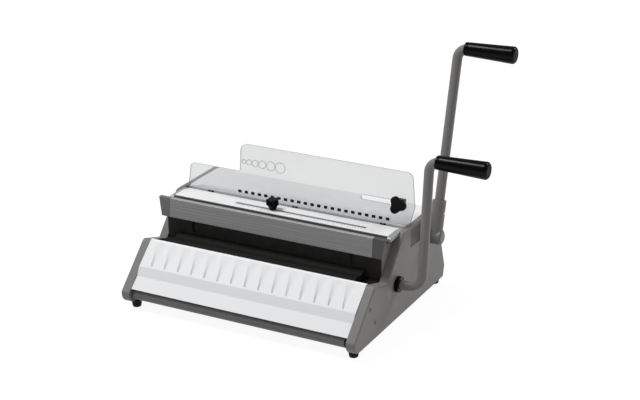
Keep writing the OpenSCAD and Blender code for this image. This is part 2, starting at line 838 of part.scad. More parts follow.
module punch_eccentrics() {
    color(steel) both_sides() translate([eccentric_x, punch_y, punch_z]) difference() {
        rotate([-punch_turn / 2, 0, 0]) translate([0, 0, punch_throw]) bar_x(eccentric_d, 0, eccentric_t);
        bar_x(punch_d + 2 * run_fit, -1, eccentric_t + 1);
    }
}

module on_punch_lever() {
    translate([punch_x, punch_y, punch_z]) rotate([-punch_lean, 0, 0]) children();
}

pin_up = 41;
cross_pin_d = 5;
tube_foot = hub_d / 2 + 4;

module punch_hub() {
    color(paint_grey) on_punch_lever() difference() {
        union() {
            bar_x(hub_d, outer + 2 - punch_x, hub_d / 2 - 0.5);
            cylinder(d = sleeve_d, h = sleeve_l);
        }
        bar_x(punch_d + 2 * run_fit, outer + 1 - punch_x, hub_d / 2 - 3 + run_fit);
        translate([0, 0, tube_foot]) cylinder(d = tube_d + 2 * run_fit, h = sleeve_l);
        translate([0, 0, pin_up]) bar_x(cross_pin_d + 2 * run_fit, -sleeve_d, sleeve_d);
    }
}

module punch_tube() {
    color(paint_grey) on_punch_lever() difference() {
        rod_top(tube_d, punch_l, tube_foot);
        translate([0, 0, pin_up]) bar_x(cross_pin_d + 2 * run_fit, -sleeve_d, sleeve_d);
    }
}

module punch_cross_pin() {
    color(steel) on_punch_lever() translate([0, 0, pin_up]) bar_x(cross_pin_d, -sleeve_d / 2, sleeve_d / 2);
}

module punch_grip() {
    color(black) on_punch_lever() translate([grip_from, 0, punch_l]) grip() grip_bore(tube_d);
}

module hub_cap() {
    color(paint_grey) on_punch_lever() translate([hub_d / 2 - 0.5, 0, 0]) rotate([0, 90, 0])
        rotate_extrude() polygon([[0, 0], [hub_d / 2 - 2, 0], [hub_d / 2 - 2, 1], [hub_d / 2 - 3, 1.8],
            [0, 1.8]]);
}

// Size setting slider and side stop

size_seat_z = top_z + table_rise;

module size_slider() {
    under_z = top_z + table_rise - cover_t - 1.2;
    color(black) {
        block([size_x - 14, size_y - 8, under_z - 5], [size_x + 14, size_y + 8, under_z]);
        translate([size_x, size_y, under_z]) cylinder(d = size_slot_w - 2 * slide_gap, h = cover_t + 10);
    }
}

module lobed_head(d, h, lobes, lobe_d) {
    linear_extrude(h) {
        circle(d = d - lobe_d * 0.7);
        for (i = [0:lobes - 1]) rotate(i * 360 / lobes)
            translate([d / 2 - lobe_d / 2, 0]) circle(d = lobe_d);
    }
}

module size_knob() {
    neck_h = size_knob_h * 0.45;
    color(black) translate([size_x, size_y, size_seat_z + slide_gap]) difference() {
        union() {
            cylinder(d1 = size_slot_w + 5, d2 = size_knob_d - 4, h = neck_h);
            translate([0, 0, neck_h]) lobed_head(size_knob_d, size_knob_h - neck_h, 5, 7);
        }
        translate([0, 0, -1]) cylinder(d = size_slot_w - 2 * slide_gap + 2 * run_fit, h = 11);
    }
}

// Puts its children on the sheet at the side stop, with +Z out of the sheet's front face
module at_stop() { on_sheet() translate([stop_x, 0, stop_up]) rotate([90, 0, 0]) children(); }

stop_block_t = 3;

module side_stop() {
    half = stop_slot_w / 2 + 4;
    color(black) at_stop() {
        translate([-half, -half, slide_gap]) cube([2 * half, 2 * half, stop_block_t]);
        translate([-half, -half, -sheet_t - slide_gap - 3]) cube([2 * half, 2 * half, 3]);
        translate([0, 0, -sheet_t - 1])
            cylinder(d = stop_slot_w - 2 * slide_gap, h = sheet_t + stop_block_t + 7);
    }
}

module side_stop_knob() {
    color(black) at_stop() translate([0, 0, 2 * slide_gap + stop_block_t]) difference() {
        union() {
            cylinder(d = stop_slot_w + 7, h = 3);
            translate([0, 0, 3]) lobed_head(stop_knob_d, stop_knob_h - 3, 3, 15);
        }
        translate([0, 0, -1]) cylinder(d = stop_slot_w - 2 * slide_gap + 2 * run_fit, h = 8);
    }
}

// Chip drawer

module drawer_tray() {
    low = [-tray_half, drawer_y + drawer_r, drawer_z];
    high = [tray_half, drawer_y + drawer_r + tray_l, drawer_z + drawer_h - 2];
    wall = [tray_t, tray_t, tray_t];
    color(steel) difference() {
        block(low, high);
        block(low + wall, high - [tray_t, tray_t, -1]);
    }
}

module drawer_section() {
    translate([drawer_y, drawer_z + drawer_r]) circle(r = drawer_r);
    translate([drawer_y, drawer_z]) square([drawer_r, drawer_h]);
}

module drawer_front() {
    color(paint_grey) across(2 * (drawer_half - drawer_cap_t)) drawer_section();
}

module drawer_end_caps() {
    color(black) both_sides() translate([drawer_half - drawer_cap_t, 0, 0])
        along_x(drawer_cap_t) drawer_section();
}

module drawer_runners() {
    color(steel) both_sides() block([tray_half - 14, pan_y + pan_t, foot_h + pan_t],
        [tray_half, drawer_y + drawer_r + tray_l, drawer_z - slide_gap]);
}

seated() {
    base_pan();
    left_side_frame();
    right_side_frame();
    front_cover();
    work_table();
    table_ends();
    top_cover();
    rear_cover();
    closing_anvil();
    mouth_back_plate();
    mouth_cheeks();
    paper_sheet();
    sheet_rail();
    sheet_screws();
    rubber_feet();
    cross_bars();
    frame_screws();
    side_recess_panel();
    closing_bushes();
    punch_bushes();
    bar_guides();
    die_plate();
    pin_guide_plate();
    throat_floor();
    ram_rails();
    drawer_runners();
    closing_bar();
    bar_end_caps();
    closing_arms();
    closing_shaft();
    closing_cranks();
    closing_rod();
    closing_grip();
    punch_shaft();
    punch_eccentrics();
    punch_hub();
    punch_tube();
    punch_grip();
    punch_cross_pin();
    hub_cap();
    punch_ram();
    ram_yokes();
    punch_pins();
    size_slider();
    size_knob();
    side_stop();
    side_stop_knob();
    drawer_tray();
    drawer_front();
    drawer_end_caps();
}
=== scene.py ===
"""Dresses the parts of a manual wire binding machine and sets them in a plain studio."""

import json
import math

import bmesh
import bpy
from bpy.props import FloatProperty, FloatVectorProperty, IntProperty, PointerProperty
from mathutils import Matrix, Vector


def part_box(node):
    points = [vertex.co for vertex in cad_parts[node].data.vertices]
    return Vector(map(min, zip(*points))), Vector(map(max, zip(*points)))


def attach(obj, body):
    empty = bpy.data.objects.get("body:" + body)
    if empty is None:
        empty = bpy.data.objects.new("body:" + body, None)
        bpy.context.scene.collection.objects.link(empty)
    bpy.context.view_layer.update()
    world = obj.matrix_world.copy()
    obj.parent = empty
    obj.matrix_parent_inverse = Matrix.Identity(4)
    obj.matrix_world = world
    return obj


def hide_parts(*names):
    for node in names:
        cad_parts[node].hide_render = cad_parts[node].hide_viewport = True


bl_info = {
    "name": "Wire binding machine",
    "version": (1, 0, 0),
    "blender": (4, 5, 0),
    "location": "View3D > Sidebar > Binding machine",
    "description": "Dresses a manual wire binding machine's parts and sets them in a studio",
    "category": "Object",
}

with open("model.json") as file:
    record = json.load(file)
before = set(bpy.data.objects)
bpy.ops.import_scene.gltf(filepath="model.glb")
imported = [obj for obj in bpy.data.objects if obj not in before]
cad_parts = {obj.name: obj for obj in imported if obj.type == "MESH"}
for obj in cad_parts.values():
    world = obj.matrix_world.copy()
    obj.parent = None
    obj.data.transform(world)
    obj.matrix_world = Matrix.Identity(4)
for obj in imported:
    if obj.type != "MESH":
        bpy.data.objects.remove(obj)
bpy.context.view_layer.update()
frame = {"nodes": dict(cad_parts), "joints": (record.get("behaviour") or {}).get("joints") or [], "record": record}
JOINTS = {joint["name"]: joint for joint in frame["joints"]}
BODY_OF = {node: body for body, nodes in frame["record"]["behaviour"]["bodies"].items()
           for node in nodes}

X_AXIS = Vector((1, 0, 0))
Y_AXIS = Vector((0, 1, 0))
Z_AXIS = Vector((0, 0, 1))

# Angles and distances that decide how a mesh is merged, rounded and shaded
SHARP = math.radians(38)
CORNER = math.radians(12)
ALL_SMOOTH = math.pi
FLAT = math.radians(0.4)
MERGE = 2e-6
ROD_SIDES = 40
BEND_STEPS = 12
ARC_STEPS = 6

# Parts whose edges are finer or coarser than the usual ones
EDGE_SHARE = {
    "table_ends": 1.6, "side_recess_panel": 0.6, "mouth_back_plate": 0.8, "punch_hub": 1.4,
    "closing_bushes": 0.7, "sheet_screws": 0.6, "paper_sheet": 0.7, "size_knob": 0.8,
}

# A grip: its taper, its hole, its rolled mouth, and the groove behind that as (along, out)
GRIP_TAPER = 0.003
GRIP_HOLE = 0.0094
GRIP_HOLE_DEPTH = 0.0055
GRIP_HOLE_STEP = 0.002
GRIP_CHAMFER = 0.001
GRIP_LIP = 0.0016
GRIP_GROOVE = ((0.006, 0.0001), (0.0066, -0.0003), (0.0072, 0.0002))
GRIP_END_ANGLE = 12
GRIP_END_DISH = 0.0002

# The punch tube's lower end, raised by a share of its radius because the tube leans
TUBE_FOOT_SHARE = 0.25

# A screw head as (depth, share of its radius), and a foot's sides as (share of its height, out)
SCREW_RADIUS = 0.0035
SCREW_PROFILE = (
    (0.0004, 0), (0.0004, 0.42), (0, 0.5), (0.0001, 0.72), (0.0005, 0.93), (0.0014, 1))
FOOT_RADIUS = 0.009
FOOT_BEND = 0.0016
FOOT_SIDES = ((0.55, -0.0007), (0.6, -0.0013), (0.68, -0.0013), (0.73, -0.0004), (1, 0))

# Least share of a direction that a face's normal has where a second finish starts
# Faces of the front cover turned up this far are painted brighter white: a painted highlight
LIP_HIGHLIGHT_UP = 0.85
# Faces of the bar turned up this far get the bright metal, partly a painted highlight
BAR_HIGHLIGHT_UP = 0.6
GRIP_END_OUT = 0.9
SHEET_FACE_OUT = 0.98

# Printed marks: hole marks, rings for judging a wire, and ticks along the size slot
INK_LIFT = 0.2
PIN_WIDTH = 0.006
MARK_CORNER = 0.0011
RING_COUNT = 6
RING_START = 0.004
RING_RISE = 0.024
RING_RADIUS = 0.0032
RING_GROWTH = 0.0011
RING_GAP = 0.0022
RING_LINE = 0.0007
TICK_COUNT = 49
TICK_STEP = 0.005
TICK_GROUP = 5
TICK_LONG = 0.0058
TICK_SHORT = 0.0036
TICK_LINE = 0.0009
TICK_CORNER = 0.0003
TICK_GAP = 0.0042

# The studio: the floor's half width and its white, the point the lamps face, the camera's sensor
FLOOR_REACH = 12
FLOOR_WHITE = 1.16
LAMP_AIM = Vector((0, 0, 0.12))
SENSOR_WIDTH = 36


def length_setting(name, description, default):
    """A length that a user may change."""
    return FloatProperty(name=name, description=description, default=default, unit="LENGTH")


def power_setting(name, description, default):
    """A lamp's power that a user may change."""
    return FloatProperty(name=name, description=description, default=default, unit="POWER")


def angle_setting(name, description, degrees):
    """An angle that a user may change."""
    return FloatProperty(
        name=name, description=description, default=math.radians(degrees), subtype="ANGLE")


def place_setting(name, description, default):
    """A point that a user may move."""
    return FloatVectorProperty(
        name=name, description=description, default=default, subtype="TRANSLATION", unit="LENGTH")


def colour_setting(name, description, default):
    """A colour that a user may change."""
    return FloatVectorProperty(
        name=name, description=description, default=default, subtype="COLOR")


class MachineSizes(bpy.types.PropertyGroup):
    """Sizes of the details that the parts get"""

    cover_edge: length_setting(
        "Cover edge", "Rounding along the edges of the white covers", 0.0007)
    metal_edge: length_setting(
        "Metal edge", "Rounding along the edges of the metal parts", 0.0005)
    knob_edge: length_setting(
        "Knob edge", "Rounding along the edges of the knobs and caps", 0.0013)
    grip_end: length_setting("Grip end", "Rounding of a grip's outer end", 0.005)
    grip_gap: length_setting("Grip gap", "Distance from a lever's plane to its grip", 0.012)
    top_bend: length_setting("Top bend", "Radius of the bend under a grip", 0.017)
    foot_bend: length_setting("Foot bend", "Radius of the bend beside the machine", 0.022)
    mark_width: length_setting(
        "Mark width", "Width of a hole mark on the clear support", 0.0068)
    mark_height: length_setting(
        "Mark height", "Height of a hole mark on the clear support", 0.005)
    mark_drop: length_setting(
        "Mark drop", "Distance of the hole marks below the side stop's slot", 0.0295)
    mark_count: IntProperty(name="Marks", description="Number of hole marks", default=23, min=2)
    ink: length_setting("Ink", "Height of a printed mark above its surface", 0.00012)


class MachineColours(bpy.types.PropertyGroup):
    """Colours of the finishes"""

    frame_paint: colour_setting(
        "Frame paint", "Grey of the side frames and levers", (0.205, 0.196, 0.1895))
    # Bright metal that stands partly for the painted highlight on the bar's top and the table's end trims
    bar_top: colour_setting(
        "Bar top", "Bright metal along the top of the closing bar", (0.40, 0.398, 0.395))
    bar_paint: colour_setting(
        "Bar paint", "Darker grey of the closing bar", (0.235, 0.229, 0.229))
    white_panel: colour_setting(
        "White panel", "White of the moulded covers", (0.80, 0.815, 0.825))
    black_plastic: colour_setting(
        "Black plastic", "Black of the grips and knobs", (0.0005, 0.0005, 0.0005))
    black_oxide: colour_setting(
        "Black oxide", "Black of the steel in the closing mouth", (0.0125, 0.0121, 0.0113))
    bare_steel: colour_setting(
        "Bare steel", "Tone of the ground steel parts", (0.56, 0.555, 0.545))
    clear_sheet: colour_setting(
        "Clear sheet", "Tint of the clear support", (0.52, 0.535, 0.545))
    printed_ink: colour_setting(
        "Printed ink", "Black of the printed marks", (0.003, 0.003, 0.003))
    tray_plastic: colour_setting(
        "Tray plastic", "Dark grey of the chip tray", (0.035, 0.035, 0.036))
    tray_dust: colour_setting(
        "Tray dust", "Paper dust on the chip tray", (0.12, 0.12, 0.118))
    foot_rubber: colour_setting(
        "Foot rubber", "Black of the rubber feet", (0.008, 0.008, 0.008))
    foot_dust: colour_setting(
        "Foot dust", "Dust on the rubber feet", (0.03, 0.029, 0.028))


class StageSettings(bpy.types.PropertyGroup):
    """Camera, light and floor"""

    lens: FloatProperty(name="Lens", description="Focal length in millimetres", default=87.47)
    camera_place: place_setting(
        "Camera place", "Where the camera stands", (1.09325, -2.12461, 1.1189))
    camera_turn: angle_setting(
        "Camera turn", "Turn of the camera about the vertical", 27.41)
    camera_dip: angle_setting(
        "Camera dip", "Angle of the camera's view below the horizon", 21.31)
    key_place: place_setting(
        "Key light place", "Where the large soft light hangs", (-2.1, -0.8, 4.2))
    key_power: power_setting("Key light power", "Power of the large soft light", 146.0)
    key_size: length_setting("Key light size", "Edge of the large soft light", 1.3)
    rim_place: place_setting(
        "Rim light place", "Where the light behind the machine hangs", (1.8, 2.2, 2.3))
    rim_power: power_setting("Rim light power", "Power of the light behind the machine", 40.0)
    rim_size: length_setting("Rim light size", "Edge of the light behind the machine", 1.0)
    sky: FloatProperty(
        name="Sky", description="Strength of the even light from all round", default=0.35)
    floor_tone: FloatProperty(
        name="Floor tone", description="Paleness of the floor", default=0.62)
    floor_glow: FloatProperty(
        name="Floor glow", description="Share of plain white in the floor as it is seen",
        default=0.8)


def sizes():
    """The detail sizes of the open scene."""
    return bpy.context.scene.binder_sizes


def colours():
    """The finish colours of the open scene."""
    return bpy.context.scene.binder_colours


class Wire:
    """An output socket that takes part in Python arithmetic."""

    def __init__(self, finish, socket):
        self.finish = finish
        self.socket = socket

    def math(self, operation, *values):
        """A Math node on some values."""
        sockets = dict(enumerate(values))
        return self.finish.node("ShaderNodeMath", {"operation": operation}, sockets)

    def __add__(self, other):
        return self.math("ADD", self, other)

    def __sub__(self, other):
        return self.math("SUBTRACT", self, other)

    def __rsub__(self, other):
        return self.math("SUBTRACT", other, self)

    def __mul__(self, other):
        return self.math("MULTIPLY", self, other)

    __radd__ = __add__
    __rmul__ = __mul__


class Finish:
    """A material and the node tree that paints it."""

    def __init__(self, name):
        self.material = bpy.data.materials.new(name)
        self.material.use_nodes = True
        self.tree = self.material.node_tree
        self.tree.nodes.clear()

    def node(self, kind, settings=None, sockets=None, out=0):
        """A new node with its settings made first, then its sockets' values and links."""
        node = self.tree.nodes.new(kind)
        for key, value in (settings or {}).items():
            setattr(node, key, value)
        for key, value in (sockets or {}).items():
            if isinstance(value, Wire):
                self.tree.links.new(value.socket, node.inputs[key])
            else:
                node.inputs[key].default_value = value
        return Wire(self, node.outputs[out]) if node.outputs else None

    def place(self, scale=(1, 1, 1)):
        """The object's own coordinates, stretched by a scale for each axis."""
        coordinates = self.node("ShaderNodeTexCoord", out=3)
        return self.node("ShaderNodeMapping", {"vector_type": "POINT"}, {
            "Vector": coordinates, "Scale": scale})

    def noise(self, scale, detail, stretch=(1, 1, 1)):
        """Even noise between nought and one, so many features to the metre."""
        return self.node("ShaderNodeTexNoise", None, {
            "Vector": self.place(stretch), "Scale": scale, "Detail": detail})

    def ramp(self, value, low, high):
        """A value spread from nought at low to one at high."""
        return self.node("ShaderNodeMapRange", {"clamp": True}, {
            "Value": value, "From Min": low, "From Max": high})

    def mix(self, share, first, second):
        """A colour between two colours."""
        return self.node(
            "ShaderNodeMix", {"data_type": "RGBA"}, {0: share, 6: first, 7: second}, out=2)

    def bump(self, height, depth, strength):
        """A normal roughened by a height, where a height of one stands depth metres proud."""
        return self.node("ShaderNodeBump", None, {
            "Height": height, "Distance": depth, "Strength": strength})

    def surface(self, sockets):
        """The shader with its sockets, joined to the material's output."""
        shader = self.node("ShaderNodeBsdfPrincipled", None, sockets)
        self.node("ShaderNodeOutputMaterial", None, {"Surface": shader})
        return self.material


def shade(colour, factor):
    """A colour made lighter or darker, with full alpha."""
    return (*(min(1.0, part * factor) for part in colour[:3]), 1.0)


def powder_paint(name, colour, rough=0.42):
    """Satin powder paint with an orange-peel skin and a slight cloudiness."""
    finish = Finish(name)
    cloud = finish.ramp(finish.noise(scale=14, detail=3), low=0.35, high=0.65)
    fleck = finish.ramp(finish.noise(scale=2600, detail=1), low=0.45, high=0.72)
    tone = finish.mix(cloud, shade(colour, 0.955), shade(colour, 1.035))
    tone = finish.mix(fleck * 0.35, tone, shade(colour, 1.16))
    peel = finish.noise(scale=1150, detail=2)
    return finish.surface({
        "Base Color": tone,
        "Roughness": rough + (cloud - 0.5) * 0.07 + (peel - 0.5) * 0.12,
        "Specular IOR Level": 0.2,
        "Normal": finish.bump(peel, depth=0.00009, strength=0.55),
    })


def frame_paint():
    """Grey paint of the side frames."""
    return powder_paint("satin_grey_paint", colours().frame_paint)


def recess_paint():
    """Darker grey of the plate in the right frame's recess."""
    return powder_paint("recess_grey_paint", shade(colours().frame_paint, factor=0.6), rough=0.5)


def lever_paint():
    """Grey paint of the levers, a little smoother."""
    return powder_paint("lever_grey_paint", shade(colours().frame_paint, factor=1.03), rough=0.4)


def bar_paint():
    """Dark grey bar finish with fine lines along its length."""
    finish = Finish("lined_bar_paint")
    colour = colours().bar_paint
    lines = finish.noise(scale=1, detail=2, stretch=(6, 900, 900))
    ribs = finish.node("ShaderNodeTexWave", {"bands_direction": "Z", "wave_profile": "SIN"}, {
        "Vector": finish.place(), "Scale": 62.0, "Distortion": 0.0, "Detail": 0.0}, out=1)
    long_cloud = finish.noise(scale=9, detail=2, stretch=(1, 3, 3))
    line_tone = finish.ramp(lines, low=0.3, high=0.7)
    tone = finish.mix(line_tone, shade(colour, 0.84), shade(colour, 1.14))
    tone = finish.mix(ribs * 0.4, tone, shade(colour, 0.72))
    return finish.surface({
        "Base Color": tone,
        "Metallic": 0.25,
        "Roughness": 0.36 + (lines - 0.5) * 0.2 + (long_cloud - 0.5) * 0.08,
        "Normal": finish.bump(lines + ribs * 0.8, depth=0.00012, strength=0.6),
    })


def cap_paint():
    """Dark grey of the closing bar's left cap and of the strip before the table."""
    return powder_paint("bar_cap_paint", shade(colours().bar_paint, factor=0.68), rough=0.4)


def dark_cap_paint():
    """Paint of the closing bar's right cap, darker than the left cap's as painted shade where the right end lies
    in shade.
    """
    return powder_paint("dark_bar_cap_paint", shade(colours().bar_paint, factor=0.4), rough=0.4)


def bar_top():
    """Brushed metal on the bar's up-facing faces and the table's end trims, painted bright: partly the metal's own
    tone, partly a painted highlight.
    """
    finish = Finish("bright_bar_top")
    colour = colours().bar_top
    brushed = finish.noise(scale=1, detail=3, stretch=(8, 1600, 1600))
    return finish.surface({
        "Base Color": finish.mix(brushed, shade(colour, 0.9), shade(colour, 1.1)),
        "Metallic": 0.35,
        "Roughness": 0.42 + (brushed - 0.5) * 0.2,
        "Normal": finish.bump(brushed, depth=0.00004, strength=0.5),
    })


def white_panel(name="white_moulded_plastic", factor=1.0):
    """White moulded plastic with a fine spark-eroded grain."""
    finish = Finish(name)
    colour = shade(colours().white_panel, factor)
    cloud = finish.ramp(finish.noise(scale=7, detail=2), low=0.3, high=0.7)
    grain = finish.noise(scale=2300, detail=2)
    dust = finish.ramp(finish.noise(scale=420, detail=3), low=0.62, high=0.8)
    tone = finish.mix(cloud, shade(colour, 0.985), shade(colour, 1.012))
    tone = finish.mix(dust * 0.12, tone, shade(colour, 0.9))
    return finish.surface({
        "Base Color": tone,
        "Roughness": 0.46 + (grain - 0.5) * 0.14 + dust * 0.06,
        "Specular IOR Level": 0.4,
        "Normal": finish.bump(grain, depth=0.00005, strength=0.4),
    })


def white_lip():
    """White plastic painted brighter, a painted highlight on the up-facing edge over the closing mouth."""
    return white_panel("rubbed_white_plastic", factor=1.17)


def black_plastic(name="satin_black_plastic", gloss=0.11):
    """Satin black plastic with faint handling marks."""
    finish = Finish(name)
    colour = colours().black_plastic
    handled = finish.noise(scale=60, detail=4, stretch=(1, 2.5, 2.5))
    smear = finish.ramp(handled, low=0.42, high=0.7)
    grain = finish.noise(scale=1900, detail=1)
    return finish.surface({
        "Base Color": finish.mix(smear, shade(colour, 0.8), shade(colour, 1.7)),
        "Roughness": 0.23 + smear * 0.05,
        "Specular IOR Level": gloss,
        "Normal": finish.bump(grain, depth=0.00001, strength=0.06),
    })


def dull_plastic():
    """Black plastic with little gloss, on the ends of the grips."""
    return black_plastic("dull_black_plastic", gloss=0.02)


def black_oxide(name="black_oxide_steel", factor=1.0):
    """Oiled black oxide on steel, a little blotchy."""
    finish = Finish(name)
    colour = shade(colours().black_oxide, factor)
    blotch = finish.ramp(finish.noise(scale=55, detail=4), low=0.35, high=0.7)
    drawn = finish.noise(scale=1, detail=2, stretch=(25, 800, 800))
    return finish.surface({
        "Base Color": finish.mix(blotch, shade(colour, 0.85), shade(colour, 1.2)),
        "Roughness": 0.62 + blotch * 0.12,
        "Specular IOR Level": 0.08,
        "Normal": finish.bump(drawn, depth=0.00005, strength=0.4),
    })


def worn_oxide():
    """Black oxide painted lighter, to a dark grey, as painted light on the shaded sheet and arms in the mouth."""
    return black_oxide("worn_black_oxide", factor=3.0)


def bare_steel():
    """Ground steel with lines along the machine."""
    finish = Finish("ground_steel")
    colour = colours().bare_steel
    ground = finish.noise(scale=1, detail=3, stretch=(18, 1500, 1500))
    stain = finish.ramp(finish.noise(scale=38, detail=4), low=0.4, high=0.75)
    return finish.surface({
        "Base Color": finish.mix(stain * 0.5, shade(colour, 1.0), shade(colour, 0.82)),
        "Metallic": 1.0,
        "Roughness": 0.3 + (ground - 0.5) * 0.2 + stain * 0.08,
        "Normal": finish.bump(ground, depth=0.00004, strength=0.5),
    })


def drawer_profile():
    """Grey drawn profile with fine die lines along its length."""
    finish = Finish("grey_drawn_profile")
    colour = shade(colours().bar_paint, 0.62)
    drawn = finish.noise(scale=1, detail=2, stretch=(5, 1300, 1300))
    cloud = finish.ramp(finish.noise(scale=11, detail=3, stretch=(1, 3, 3)), low=0.35, high=0.65)
    return finish.surface({
        "Base Color": finish.mix(cloud, shade(colour, 0.93), shade(colour, 1.07)),
        "Roughness": 0.37 + (drawn - 0.5) * 0.18,
        "Specular IOR Level": 0.22,
        "Normal": finish.bump(drawn, depth=0.00006, strength=0.5),
    })


def tray_plastic():
    """Dull dark plastic of the chip tray."""
    finish = Finish("dark_tray_plastic")
    plastic, paper_dust = colours().tray_plastic, colours().tray_dust
    grain = finish.noise(scale=900, detail=2)
    dust = finish.ramp(finish.noise(scale=120, detail=4), low=0.55, high=0.8)
    return finish.surface({
        "Base Color": finish.mix(dust * 0.5, shade(plastic, 1), shade(paper_dust, 1)),
        "Roughness": 0.6 + (grain - 0.5) * 0.15,
        "Normal": finish.bump(grain, depth=0.00008, strength=0.5),
    })


def rubber():
    """Dull black rubber with a dusty skin."""
    finish = Finish("foot_rubber")
    black, floor_dust = colours().foot_rubber, colours().foot_dust
    grain = finish.noise(scale=1400, detail=3)
    dust = finish.ramp(finish.noise(scale=230, detail=3), low=0.5, high=0.8)
    return finish.surface({
        "Base Color": finish.mix(dust * 0.4, shade(black, 1), shade(floor_dust, 1)),
        "Roughness": 0.78 + (grain - 0.5) * 0.16,
        "Specular IOR Level": 0.3,
        "Normal": finish.bump(grain, depth=0.00008, strength=0.6),
    })


def clear_sheet():
    """Clear acrylic that greys what lies behind it a little."""
    finish = Finish("clear_acrylic")
    colour = colours().clear_sheet
    haze = finish.ramp(finish.noise(scale=16, detail=3), low=0.35, high=0.7)
    return finish.surface({
        "Base Color": finish.mix(haze, shade(colour, 0.95), shade(colour, 1.08)),
        "Roughness": 0.07 + haze * 0.05,
        "IOR": 1.49,
        "Alpha": 0.24,
    })


def sheet_edge():
    """The sawn edge of the acrylic, which catches the light."""
    finish = Finish("acrylic_edge")
    colour = colours().clear_sheet
    sawn = finish.noise(scale=700, detail=2)
    return finish.surface({
        "Base Color": finish.mix(sawn, shade(colour, 0.62), shade(colour, 0.85)),
        "Roughness": 0.25 + sawn * 0.2,
        "Alpha": 0.62,
    })


def printed_ink(name="printed_black", factor=1.0):
    """Screen-printed ink with slightly uneven cover."""
    finish = Finish(name)
    colour = colours().printed_ink
    cover = finish.ramp(finish.noise(scale=900, detail=2), low=0.35, high=0.75)
    return finish.surface({
        "Base Color": finish.mix(cover, shade(colour, factor), shade(colour, 1.5 * factor)),
        "Roughness": 0.5 + cover * 0.1,
        "Specular IOR Level": 0.15,
    })


def faint_ink():
    """Grey ink of the rings and ticks."""
    return printed_ink("printed_grey", factor=75.0)


FINISHES = {maker.__name__: maker for maker in (
    frame_paint, recess_paint, lever_paint, bar_paint, bar_top, cap_paint, dark_cap_paint,
    white_panel, white_lip, black_plastic, dull_plastic, black_oxide, worn_oxide, bare_steel,
    drawer_profile, tray_plastic, rubber, clear_sheet, sheet_edge, printed_ink, faint_ink)}
made = {}


def finish_of(name):
    """A finish by its maker's name, made once."""
    if name not in made:
        made[name] = FINISHES[name]()
    return made[name]


def middle(node):
    """The centre of a part's box."""
    low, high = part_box(node)
    return (low + high) / 2


def piece(name, bm, body, finishes, nodes=(), sharp=SHARP):
    """A finished piece from a mesh under construction: shaded, painted and riding on its body."""
    for face in bm.faces:
        face.smooth = True
    for edge in bm.edges:
        edge.smooth = edge.is_manifold and edge.calc_face_angle(0) < sharp
    mesh = bpy.data.meshes.new(name)
    bm.to_mesh(mesh)
    bm.free()
    for finish in finishes:
        mesh.materials.append(finish_of(finish))
    made_piece = bpy.data.objects.new(name, mesh)
    bpy.context.scene.collection.objects.link(made_piece)
    weighted = made_piece.modifiers.new("Even shading", "WEIGHTED_NORMAL")
    weighted.keep_sharp = True
    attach(made_piece, body)
    if nodes:
        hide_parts(*nodes)
    return made_piece


def merged(node):
    """A merged copy of a part's mesh with its flat faces made whole."""
    bm = bmesh.new()
    bm.from_mesh(frame["nodes"][node].data)
    bmesh.ops.remove_doubles(bm, verts=bm.verts, dist=MERGE)
    bmesh.ops.dissolve_limit(bm, angle_limit=FLAT, verts=bm.verts, edges=bm.edges)
    return bm


def rounded(bm, edges, width, segments=3):
    """Rounds some edges of a mesh."""
    bmesh.ops.bevel(bm, geom=edges, offset=width, offset_type="OFFSET", segments=segments,
                    profile=0.5, affect="EDGES", clamp_overlap=False, material=-1)


def sharp_edges(bm):
    """The edges at which a mesh turns a corner."""
    return [edge for edge in bm.edges if edge.is_manifold and edge.calc_face_angle(0) > CORNER]


def node_edge(node, width):
    """The rounding of a part's edges, which is finer or coarser where a part is listed so."""
    return width * EDGE_SHARE.get(node, 1.0)


def two_finishes(bm, is_second):
    """Gives the second finish to the faces that pass a test, and the first to the rest."""
    for face in bm.faces:
        face.material_index = int(is_second(face))


def softened(node, name, finish, width, segments=3):
    """Replaces a part by a copy with rounded edges."""
    bm = merged(node)
    rounded(bm, sharp_edges(bm), node_edge(node, width), segments)
    return piece(name, bm, BODY_OF[node], [finish], [node], sharp=ALL_SMOOTH)


def end_pair(node, name, left, right, width, segments=3):
    """Replaces a pair of end caps by a rounded copy with a finish for each end."""
    bm = merged(node)
    rounded(bm, sharp_edges(bm), width, segments)
    centre = middle(node)
    two_finishes(bm, lambda face: face.calc_center_median().x > centre.x)
    return piece(name, bm, BODY_OF[node], [left, right], [node], sharp=ALL_SMOOTH)


def painted(node, finish):
    """Gives a part that keeps its own mesh a finish."""
    slots = frame["nodes"][node].data.materials
    slots.clear()
    slots.append(finish_of(finish))


def turned(bm, profile, centre, axis, steps):
    """Turns a profile of (distance along the axis, radius) about an axis through a centre."""
    side = axis.orthogonal().normalized()
    verts = [bm.verts.new(centre + axis * along + side * radius) for along, radius in profile]
    edges = [bm.edges.new(pair) for pair in zip(verts, verts[1:])]
    bmesh.ops.spin(bm, geom=verts + edges, cent=centre, axis=axis, angle=math.tau, steps=steps,
                   use_merge=True)
    bmesh.ops.remove_doubles(bm, verts=bm.verts, dist=MERGE)
    bmesh.ops.recalc_face_normals(bm, faces=bm.faces)


def arc(along, radius, corner, start, end):
    """Points of a round corner in a turned profile, between two angles in degrees."""
    turns = [math.radians(start + (end - start) * step / ARC_STEPS)
             for step in range(ARC_STEPS + 1)]
    return [(along + corner * math.cos(turn), radius + corner * math.sin(turn)) for turn in turns]


def lever_frame(grip_node, joint):
    """A lever's own frame, X along its axis and Z up its rod, its length and its plane's X."""
    pivot = Vector(JOINTS[joint]["pos_m"])
    grip_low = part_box(grip_node)[0]
    arm = middle(grip_node) - pivot
    lean = math.atan2(arm.y, arm.z)
    plane = grip_low.x - sizes().grip_gap
    place = Matrix.Translation((plane, pivot.y, pivot.z)) @ Matrix.Rotation(-lean, 4, "X")
    return place, math.hypot(arm.y, arm.z), plane


